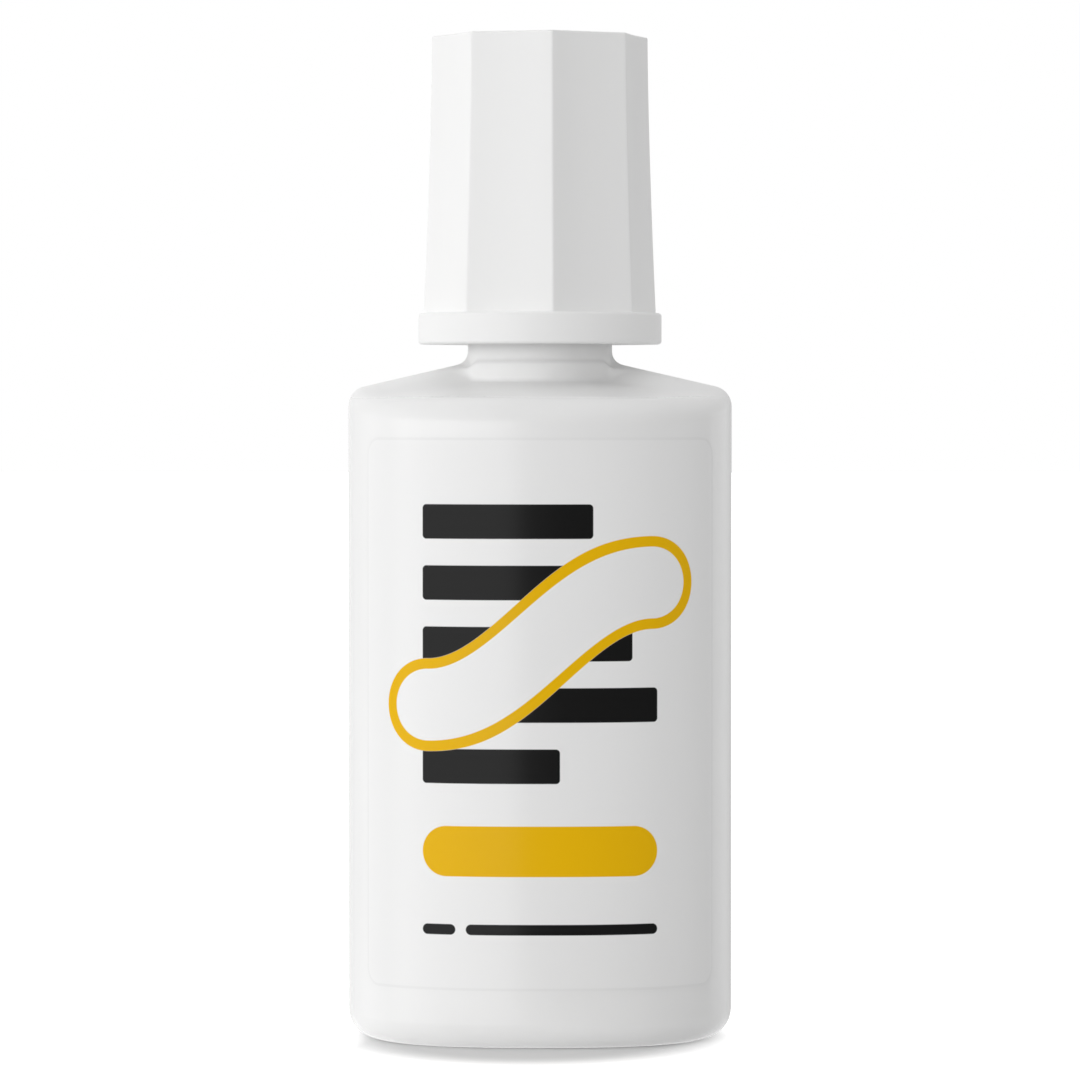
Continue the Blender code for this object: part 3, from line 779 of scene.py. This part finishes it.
flange_top = cap_low.z + FLANGE_HEIGHT
fall = np.linspace(0.0, 1.0, CAP_WALL_ROWS + 2)[1:-1]
walls = [(cap_reach * (top_corner + CAP_TAPER * share**CAP_FLARE_POWER),
          CAP_TOP + (flange_top - CAP_TOP) * share, 0.0, 1) for share in fall]
cap_profile = rounded_profile([
    (POLE, CAP_TOP, 0.0, 1),
    (cap_reach * top_corner, CAP_TOP, TOP_EDGE, 3),
    *walls,
    (cap_reach * foot_corner, flange_top, WALL_FILLET, 1),
    (FLANGE_RADIUS, flange_top, FLANGE_EDGE, 1),
    (FLANGE_RADIUS, cap_low.z, FLANGE_EDGE, 2),
    (CAP_BORE, cap_low.z, BORE_EDGE, 2),
    (CAP_BORE, CAP_LEDGE, LEDGE_EDGE, CAP_BORE_ROWS),
    (CAP_CAVITY, CAP_LEDGE, LEDGE_EDGE, 1),
    (CAP_CAVITY, CAP_CEILING, CEILING_FILLET, 3),
    (SOCKET_RADIUS, CAP_CEILING, CEILING_FILLET, 1),
    (SOCKET_RADIUS, CAP_LEDGE, SOCKET_EDGE, 3),
    (SOCKET_BORE, CAP_LEDGE, SOCKET_LEAD_IN, 1),
    (SOCKET_BORE, CAP_CEILING, SOCKET_FILLET, 3),
    (POLE, CAP_CEILING, 0.0, 2),
], len(cap_angles))
radius, height = cap_profile[..., 0], cap_profile[..., 1]
in_bore = np.isclose(radius, CAP_BORE, atol=SAME_RADIUS)
cap_thread = thread_rise(cap_angles, height, THREAD_START - THREAD_LEAD / 2, CAP_THREAD_TURNS,
                         CAP_THREAD_RISE)
radius -= in_bore * cap_thread
cap = grid_piece("cap_moulding", around(cap_profile, cap_angles),
                 poles=((0, 0, CAP_TOP), (0, 0, CAP_CEILING)))
hang(cap, "cap_shell", cap_white, sharp=40.0)

# %% [markdown]
# ## The stem, the wiper and the seal
#
# These are turned shapes on the cap's axis. The stem hangs in the cap by a hollow plug, seals with
# a flange, and holds the brush in a bored end. The wiper sits in the neck and strips the brush as
# it comes out. The seal is a foam washer between them. A profile with rounded corners makes each.

# %% Stem
stem_low, stem_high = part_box("applicator_stem")
PLUG_LENGTH = 4.6 * MM
PLUG_RADIUS = 3.2 * MM
PLUG_BORE = 2.2 * MM
STEM_FLANGE = 0.9 * MM
ROD_RADIUS = 1.45 * MM
HOLDER_RADIUS = 1.75 * MM
HOLDER_LENGTH = 6.0 * MM
HOLDER_BORE = 1.24 * MM
HOLDER_DEPTH = 4.4 * MM
HOLDER_TAPER = 1.5 * MM
PLUG_FILLET = 0.4 * MM
PLUG_MOUTH = 0.25 * MM
PLUG_LEAD_IN = 0.4 * MM
STEM_EDGE = 0.15 * MM
ROD_FILLET = 0.35 * MM
HOLDER_BEND = 0.5 * MM
HOLDER_EDGE = 0.2 * MM
HOLDER_MOUTH = 0.12 * MM
HOLDER_FILLET = 0.1 * MM

plug_foot = stem_high.z - PLUG_LENGTH
stem_seat = plug_foot - STEM_FLANGE
holder_top = stem_low.z + HOLDER_LENGTH
bore_top = stem_low.z + HOLDER_DEPTH
stem_profile = rounded_profile([
    (POLE, plug_foot, 0.0, 1),
    (PLUG_BORE, plug_foot, PLUG_FILLET, 1),
    (PLUG_BORE, stem_high.z, PLUG_MOUTH, 3),
    (PLUG_RADIUS, stem_high.z, PLUG_LEAD_IN, 1),
    (PLUG_RADIUS, plug_foot, STEM_EDGE, 3),
    (stem_high.x, plug_foot, STEM_EDGE, 2),
    (stem_high.x, stem_seat, STEM_EDGE, 1),
    (ROD_RADIUS, stem_seat, ROD_FILLET, 2),
    (ROD_RADIUS, holder_top + HOLDER_TAPER, HOLDER_BEND, 8),
    (HOLDER_RADIUS, holder_top, HOLDER_BEND, 1),
    (HOLDER_RADIUS, stem_low.z, HOLDER_EDGE, 4),
    (HOLDER_BORE, stem_low.z, HOLDER_MOUTH, 1),
    (HOLDER_BORE, bore_top, HOLDER_FILLET, 3),
    (POLE, bore_top, 0.0, 1),
], ROUND_COLUMNS)
stem = grid_piece("brush_stem", around(stem_profile, round_angles),
                  poles=((0, 0, plug_foot), (0, 0, bore_top)))
hang(stem, "applicator_stem", stem_white)

# %% [markdown]
# A hole runs through the wiper, so its profile is closed: a flange on the neck's lip, a sleeve in
# the neck, and a funnel down to the narrow mouth.

# %% Wiper
wiper_low, wiper_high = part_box("wiper_insert")
WIPER_FLANGE = 0.7 * MM
WIPER_WALL = 0.6 * MM
WIPER_SLEEVE = 4.34 * MM
WIPER_MOUTH = 2.10 * MM
SLEEVE_FOOT = wiper_low.z + 2.6 * MM
WIPER_LEAD_IN = 0.2 * MM
WIPER_EDGE = 0.15 * MM
WIPER_SEAT = 0.12 * MM
WIPER_BEND = 0.6 * MM

wiper_seat = wiper_high.z - WIPER_FLANGE
wiper_profile = closed_profile([
    (WIPER_SLEEVE - WIPER_WALL, wiper_high.z, WIPER_LEAD_IN, 2),
    (wiper_high.x, wiper_high.z, WIPER_EDGE, 1),
    (wiper_high.x, wiper_seat, WIPER_SEAT, 1),
    (WIPER_SLEEVE, wiper_seat, WIPER_SEAT, 1),
    (WIPER_SLEEVE, SLEEVE_FOOT, WIPER_BEND, 4),
    (WIPER_MOUTH + WIPER_WALL, wiper_low.z, WIPER_EDGE, 2),
    (WIPER_MOUTH, wiper_low.z, WIPER_EDGE, 1),
    (WIPER_MOUTH, wiper_low.z + WIPER_WALL, WIPER_EDGE, 1),
    (WIPER_SLEEVE - WIPER_WALL, SLEEVE_FOOT + WIPER_WALL, WIPER_BEND, 2),
], ROUND_COLUMNS)
wiper = grid_piece("neck_wiper", around(wiper_profile, round_angles), wrap_rows=True)
hang(wiper, "wiper_insert", stem_white)

# %% [markdown]
# The seal is punched from closed-cell foam, so its faces show small cells and its cut edges are a
# little soft. A Voronoi pattern gives the cells, with their walls raised, and the pits between
# them are painted darker: painted shade in the hollows.

# %% Seal
liner_low, liner_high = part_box("seal_liner")
LINER_BORE = 1.8 * MM
LINER_EDGE = 0.14 * MM
LINER_BORE_EDGE = 0.10 * MM
FOAM = (0.62, 0.63, 0.64)
FOAM_WALL = (0.66, 0.67, 0.68, 1.0)
FOAM_PIT_SHADE = (0.57, 0.58, 0.59, 1.0)
FOAM_ROUGHNESS = 0.78
CELLS_PER_METRE = 3600.0
CELL_BAND = (0.02, 0.30)
PIT_ROUGHNESS = 0.14
PIT_STRENGTH = 0.6
PIT_DEPTH = 0.03 * MM


def foam():
    """Grey foam: raised cell walls from the distance to the nearest Voronoi edge, painted shade in
    the pits.
    """
    finish, shader, blank = new_finish("liner_foam", FOAM, FOAM_ROUGHNESS + PIT_ROUGHNESS / 2)
    place = blank.node("ShaderNodeTexCoord", output="Object")
    cells = blank.node("ShaderNodeTexVoronoi", {"feature": "DISTANCE_TO_EDGE"},
                       {"Vector": place, "Scale": CELLS_PER_METRE})
    hollow = cells.ramp(*CELL_BAND)
    # The pits take a darker colour: painted shade in the hollows of the cells.
    hollow.blend(FOAM_WALL, FOAM_PIT_SHADE).into(shader, "Base Color")
    (FOAM_ROUGHNESS + hollow * PIT_ROUGHNESS).into(shader, "Roughness")
    pits = blank.node("ShaderNodeBump", inputs={
        "Height": 1 - hollow, "Strength": PIT_STRENGTH, "Distance": PIT_DEPTH})
    pits.into(shader, "Normal")
    return finish


liner_profile = closed_profile([
    (LINER_BORE, liner_high.z, LINER_BORE_EDGE, 2),
    (liner_high.x, liner_high.z, LINER_EDGE, 3),
    (liner_high.x, liner_low.z, LINER_EDGE, 2),
    (LINER_BORE, liner_low.z, LINER_BORE_EDGE, 3),
], ROUND_COLUMNS)
liner = grid_piece("foam_seal", around(liner_profile, round_angles), wrap_rows=True)
hang(liner, "seal_liner", foam())

# %% [markdown]
# ## The brush
#
# Each filament of the tuft is folded in half over a metal staple that holds it in the bore, so it
# has two free ends. A particle system would grow single hairs; here one path is written for all
# the filaments at once: up from one tip, over the staple, and down to the other.

# %% Filament paths
bristle_low, bristle_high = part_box("brush_bristles")
staple_low, staple_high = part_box("brush_staple")
TUFT_RADIUS = 1.07 * MM
TUFT_ENDS = 440
TIP_SPREAD = 0.38
TIP_DOME = 0.85 * MM
TIP_UNEVEN = 0.25 * MM
TIP_LEAN = 0.09 * MM
TIP_JITTER = 0.02 * MM
LEAN_WAVE = 2.3
FAN_POWER = 1.4
STATIONS = np.array([1.0, 0.78, 0.52, 0.26, 0.0])
STAPLE_CLEAR = 0.05 * MM
FOLD_STATIONS = 7
FOLD_WIDTH = 0.80
FOLD_ROOM = 0.08 * MM
FOLD_LEAST = 0.10 * MM
ROOT_HEIGHT = bristle_high.z - 2.6 * MM
SEED = 11

rng = np.random.default_rng(SEED)
number = np.arange(TUFT_ENDS) + 0.5
ring = TUFT_RADIUS * np.sqrt(number / TUFT_ENDS)
swirl = number * math.pi * (3.0 - math.sqrt(5.0))
root_x, root_y = ring * np.cos(swirl), ring * np.sin(swirl)
upper = root_y > 0.0
root_x, root_y, ring = root_x[upper], root_y[upper], ring[upper]
free = STATIONS[:, None]


def free_end(side):
    """Stations of one free end, tip first: it fans out, leans a little, and ends on a dome."""
    tip = TIP_DOME * (ring / TUFT_RADIUS) ** 2 + rng.uniform(0.0, TIP_UNEVEN, len(ring))
    reach_down = ROOT_HEIGHT - bristle_low.z - tip
    wave = np.sin(root_y * side / TUFT_RADIUS * LEAN_WAVE + root_x / MM)
    lean = free**2 * TIP_LEAN * wave
    jitter = free**2 * rng.uniform(-TIP_JITTER, TIP_JITTER, (2, 1, len(ring)))
    fan = 1.0 + TIP_SPREAD * free**FAN_POWER
    return np.stack([root_x * fan + lean + jitter[0], side * root_y * fan + jitter[1],
                     ROOT_HEIGHT - free * reach_down], axis=-1)


def fold():
    """Stations over the staple: half an ellipse, wider and taller for the outer filaments.

    The ellipse stands on the staple's top, and its two ends are drawn down to the staple's foot.
    """
    bow = np.linspace(0.0, math.pi, FOLD_STATIONS)[:, None]
    aside = staple_high.y + STAPLE_CLEAR + FOLD_WIDTH * root_y
    top = bristle_high.z - FOLD_ROOM - staple_high.z
    tall = FOLD_LEAST + (top - FOLD_LEAST) * root_y / TUFT_RADIUS
    middle = np.full_like(bow, staple_high.z)
    middle[[0, -1]] = staple_low.z
    x = np.broadcast_to(root_x, (len(bow), len(root_x)))
    return np.stack([x, aside * np.cos(bow), middle + tall * np.sin(bow)], axis=-1)


paths = np.concatenate([free_end(1.0), fold(), free_end(-1.0)[::-1]]).transpose(1, 0, 2)
print("filaments:", len(paths), "with", 2 * len(paths), "free ends and", paths.shape[1], "stations")

# %% [markdown]
# A tube is a small ring of points carried along each path. Its ring stands across the path's
# direction, found from the difference of neighbouring stations. Four sides are enough for a hair
# that is less than a tenth of a millimetre thick.

# %% Brush
FILAMENT_RADIUS = 0.040 * MM
FILAMENT_SIDES = 4
FILAMENT_TAPER = 0.6
NYLON = (0.80, 0.785, 0.73)
NYLON_LIGHT = (0.83, 0.82, 0.78, 1.0)
NYLON_DARK = (0.70, 0.68, 0.61, 1.0)
NYLON_ROUGHNESS = 0.36
STRANDS_PER_METRE = 9000.0
STRAND_DRAW = (1, 1, 0.03)
STRAND_BAND = (0.35, 0.65)
STRAND_GLOSS = 0.06
STRAND_ROUGHNESS = 0.14


def tubes(name, paths, radius, sides):
    """Carry a ring round every path: P + r (cos a N - sin a B), with N and B across the path."""
    ahead = np.gradient(paths, axis=1)
    ahead /= np.linalg.norm(ahead, axis=-1, keepdims=True)
    across = np.array([1.0, 0.0, 0.0]) - ahead[..., :1] * ahead
    across /= np.linalg.norm(across, axis=-1, keepdims=True)
    upright = np.cross(ahead, across)
    turn = np.arange(sides) / sides * math.tau
    thick = np.full(paths.shape[1], radius)
    thick[[0, -1]] *= FILAMENT_TAPER
    rings = (np.cos(turn)[:, None] * across[:, :, None]
             - np.sin(turn)[:, None] * upright[:, :, None])
    points = paths[:, :, None] + thick[:, None, None] * rings
    index = np.arange(points[..., 0].size).reshape(points.shape[:3])
    loop = np.concatenate([index, index[..., :1]], axis=-1)
    quads = np.stack([loop[:, :-1, :-1], loop[:, 1:, :-1],
                      loop[:, 1:, 1:], loop[:, :-1, 1:]], axis=-1)
    faces = quads.reshape(-1, 4).tolist() + index[:, 0].tolist() + index[:, -1, ::-1].tolist()
    return new_object(name, points.reshape(-1, 3).tolist(), faces)


def nylon():
    """Clear nylon: a warm white that changes a little from filament to filament."""
    finish, shader, blank = new_finish("brush_nylon", NYLON, NYLON_ROUGHNESS)
    place = blank.node("ShaderNodeTexCoord", output="Object")
    drawn = blank.node("ShaderNodeMapping", inputs={"Vector": place, "Scale": STRAND_DRAW})
    strand = blank.node("ShaderNodeTexNoise", inputs={"Vector": drawn, "Scale": STRANDS_PER_METRE})
    tone = strand.ramp(*STRAND_BAND)
    tone.blend(NYLON_LIGHT, NYLON_DARK).into(shader, "Base Color")
    (NYLON_ROUGHNESS - STRAND_GLOSS + tone * STRAND_ROUGHNESS).into(shader, "Roughness")
    return finish


brush = tubes("brush_tuft", paths, FILAMENT_RADIUS, FILAMENT_SIDES)
hang(brush, "brush_bristles", nylon(), sharp=100.0)

# %% [markdown]
# The staple is a stamped strip with rounded edges, and the ball that stirs the fluid is ground
# steel. Both are the closed surface |x/a|^p + |y/b|^p + |z/c|^p = 1: a high power gives the
# strip, and a power of 2 the ball.

# %% Staple and ball
STRIP_POWER = 9.0
BALL_POWER = 2.0
SCRATCH_DRAW = (1, 0.08, 0.5)
SCRATCHES_PER_METRE = 6000.0
SCRATCH_DETAIL = 4.0
SCRATCH_BAND = (0.50, 0.72)
SCRATCH_SHADE = 0.86


def rounded_solid(name, low, high, power, rows, columns):
    """Surface of |x/a|^p + |y/b|^p + |z/c|^p = 1 in a box, with its poles on the X axis."""
    half, centre = np.array(high - low) / 2, np.array(high + low) / 2
    latitude = np.linspace(math.pi / 2, -math.pi / 2, rows + 2)[1:-1, None]
    longitude = np.arange(columns) / columns * math.tau

    def drawn(value):
        return np.sign(value) * np.abs(value) ** (2 / power)

    unit = np.stack([drawn(np.sin(latitude)) * np.ones_like(longitude),
                     drawn(np.cos(latitude)) * drawn(np.cos(longitude)),
                     drawn(np.cos(latitude)) * drawn(np.sin(longitude))], axis=-1)
    tips = [centre + half * np.array([side, 0.0, 0.0]) for side in (1.0, -1.0)]
    return grid_piece(name, centre + half * unit, poles=tips)


def steel(name, color, roughness, scratch):
    """Bare steel: fine scratches, drawn out along one direction, dull it a little."""
    finish, shader, blank = new_finish(name, color, roughness, metallic=1.0)
    place = blank.node("ShaderNodeTexCoord", output="Object")
    drawn = blank.node("ShaderNodeMapping", inputs={"Vector": place, "Scale": SCRATCH_DRAW})
    lines = blank.node("ShaderNodeTexNoise", inputs={
        "Vector": drawn, "Scale": SCRATCHES_PER_METRE, "Detail": SCRATCH_DETAIL})
    mark = lines.ramp(*SCRATCH_BAND)
    dull = tuple(SCRATCH_SHADE * value for value in color)
    mark.blend((*color, 1.0), (*dull, 1.0)).into(shader, "Base Color")
    (roughness + mark * scratch).into(shader, "Roughness")
    return finish


staple = rounded_solid("brush_anchor", staple_low, staple_high, STRIP_POWER, rows=25, columns=48)
anchor_steel = steel("anchor_steel", (0.70, 0.68, 0.62), roughness=0.30, scratch=0.25)
hang(staple, "brush_staple", anchor_steel)
ball_low, ball_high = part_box("mixing_ball")
ball = rounded_solid("stirring_ball", ball_low, ball_high, BALL_POWER, rows=47, columns=72)
ball_steel = steel("ball_steel", (0.72, 0.72, 0.73), roughness=0.16, scratch=0.14)
hang(ball, "mixing_ball", ball_steel)

# %% [markdown]
# ## Floor, sweep and light
#
# The photograph shows the bottle on a white sweep, with only a soft shadow at its foot. The
# floor's plain colour takes that shadow, and a glow that grows with the distance from the foot
# lifts the rest to white. The camera alone sees this glow. For the light on the bottle the floor
# glows weakly, more on the left, and mirror rays pass through it.

# %% Floor
FLOOR_SIZE = 3.0
FLOOR_COLOR = (0.62, 0.62, 0.62, 1.0)
SHADOW_CENTRE = (-0.8 * MM, -3.5 * MM, 0.0)
SHADOW_HALF = (11.0 * MM, 13.0 * MM, 1.0)
SHADOW_FADE = (0.95, 1.75)
SHADOW_SIDES = (12.0 * MM, 16.5 * MM)
TABLE_LEFT = 0.22
TABLE_RIGHT = 0.07
TABLE_FADE = 20 * MM
SHADOW_LIFT = 0.12

corners = ((-1, -1), (1, -1), (1, 1), (-1, 1))
floor = new_object("studio_floor", [(x * FLOOR_SIZE, y * FLOOR_SIZE, 0.0) for x, y in corners],
                   [(0, 1, 2, 3)])
floor.visible_glossy = False
floor_finish = bpy.data.materials.new("studio_floor")
floor_finish.use_nodes = True
floor_finish.node_tree.nodes.clear()
sheet = Wire(floor_finish.node_tree)
spot = sheet.node("ShaderNodeTexCoord", output="Object")
foot = sheet.node("ShaderNodeMapping", {"vector_type": "TEXTURE"},
                  {"Vector": spot, "Location": SHADOW_CENTRE, "Scale": SHADOW_HALF})
beside_foot = sheet.node("ShaderNodeVectorMath", {"operation": "LENGTH"}, {0: foot}, "Value")
across = sheet.node("ShaderNodeSeparateXYZ", inputs={0: spot})
lit = TABLE_RIGHT + (TABLE_LEFT - TABLE_RIGHT) * across.ramp(TABLE_FADE, -TABLE_FADE)
camera_ray = sheet.node("ShaderNodeLightPath", output="Is Camera Ray")
shown = SHADOW_LIFT + (beside_foot.ramp(*SHADOW_FADE) | abs(across).ramp(*SHADOW_SIDES))
glow = sheet.node("ShaderNodeEmission", inputs={"Strength": lit + camera_ray * (shown - lit)})
plain = sheet.node("ShaderNodeBsdfDiffuse", inputs={"Color": FLOOR_COLOR})
both = sheet.node("ShaderNodeAddShader", inputs={0: plain, 1: glow})
floor_output = floor_finish.node_tree.nodes.new("ShaderNodeOutputMaterial")
both.into(floor_output, "Surface")
floor.data.materials.append(floor_finish)
print("floor ready")

# %% [markdown]
# White gloss shows its surroundings, so the light is painted into the world and no lamp is used.
# A low row of panels stands round the bottle: a large soft box on the left that ends at the camera,
# a dim room on the right of it, and the brighter sweep behind. A softer row stands above it, with
# an even light overhead, and the sheet shines from below. Each panel starts at a direction in
# degrees, with 0 towards the camera and 90 to the right. The camera sees plain white.

# %% World
LOW_FIRST = 0.90
LOW_PANELS = ((-122.0, 18.0, 1.55), (-75.0, 10.0, 3.10), (-3.0, 3.0, 0.23), (60.0, 8.0, 0.62),
              (112.0, 1.0, 1.10), (150.0, 12.0, 0.62))
HIGH_FIRST = 0.90
HIGH_PANELS = ((-90.0, 15.0, 0.98), (0.0, 15.0, 0.42), (90.0, 15.0, 0.74))
OVERHEAD = 0.76
SHEET_SHINE = 1.20
LOW_BAND = (0.08, 0.30)
HIGH_BAND = (0.50, 0.80)


def stairs(wire, first, panels):
    """Go from level to level: each panel is (edge, softness, level behind the edge)."""
    total = before = first
    for edge, softness, after in panels:
        total = total + (after - before) * wire.ramp(edge - softness, edge + softness)
        before = after
    return total


world = bpy.data.worlds.new("studio")
bpy.context.scene.world = world
world.use_nodes = True
world.node_tree.nodes.clear()
sky = Wire(world.node_tree)
direction = sky.node("ShaderNodeTexCoord", output="Generated")
x = sky.node("ShaderNodeSeparateXYZ", inputs={0: direction})
z = x.output("Z")
turn = x.math("ARCTAN2", x, 0.0 - x.output("Y")) * math.degrees(1.0)
overhead = z.ramp(*HIGH_BAND)
above = z.ramp(*LOW_BAND)
below = (0.0 - z).ramp(*LOW_BAND)
level = ((1 - above - below) * stairs(turn, LOW_FIRST, LOW_PANELS)
         + (above - overhead) * stairs(turn, HIGH_FIRST, HIGH_PANELS)
         + overhead * OVERHEAD + below * SHEET_SHINE)
camera_ray = sky.node("ShaderNodeLightPath", output="Is Camera Ray")
background = sky.node("ShaderNodeBackground", inputs={
    "Color": (1.0, 1.0, 1.0, 1.0), "Strength": level + camera_ray * (1 - level)})
world_output = world.node_tree.nodes.new("ShaderNodeOutputWorld")
background.into(world_output, "Surface")
bpy.context.scene.view_settings.view_transform = "Standard"
print("light ready")
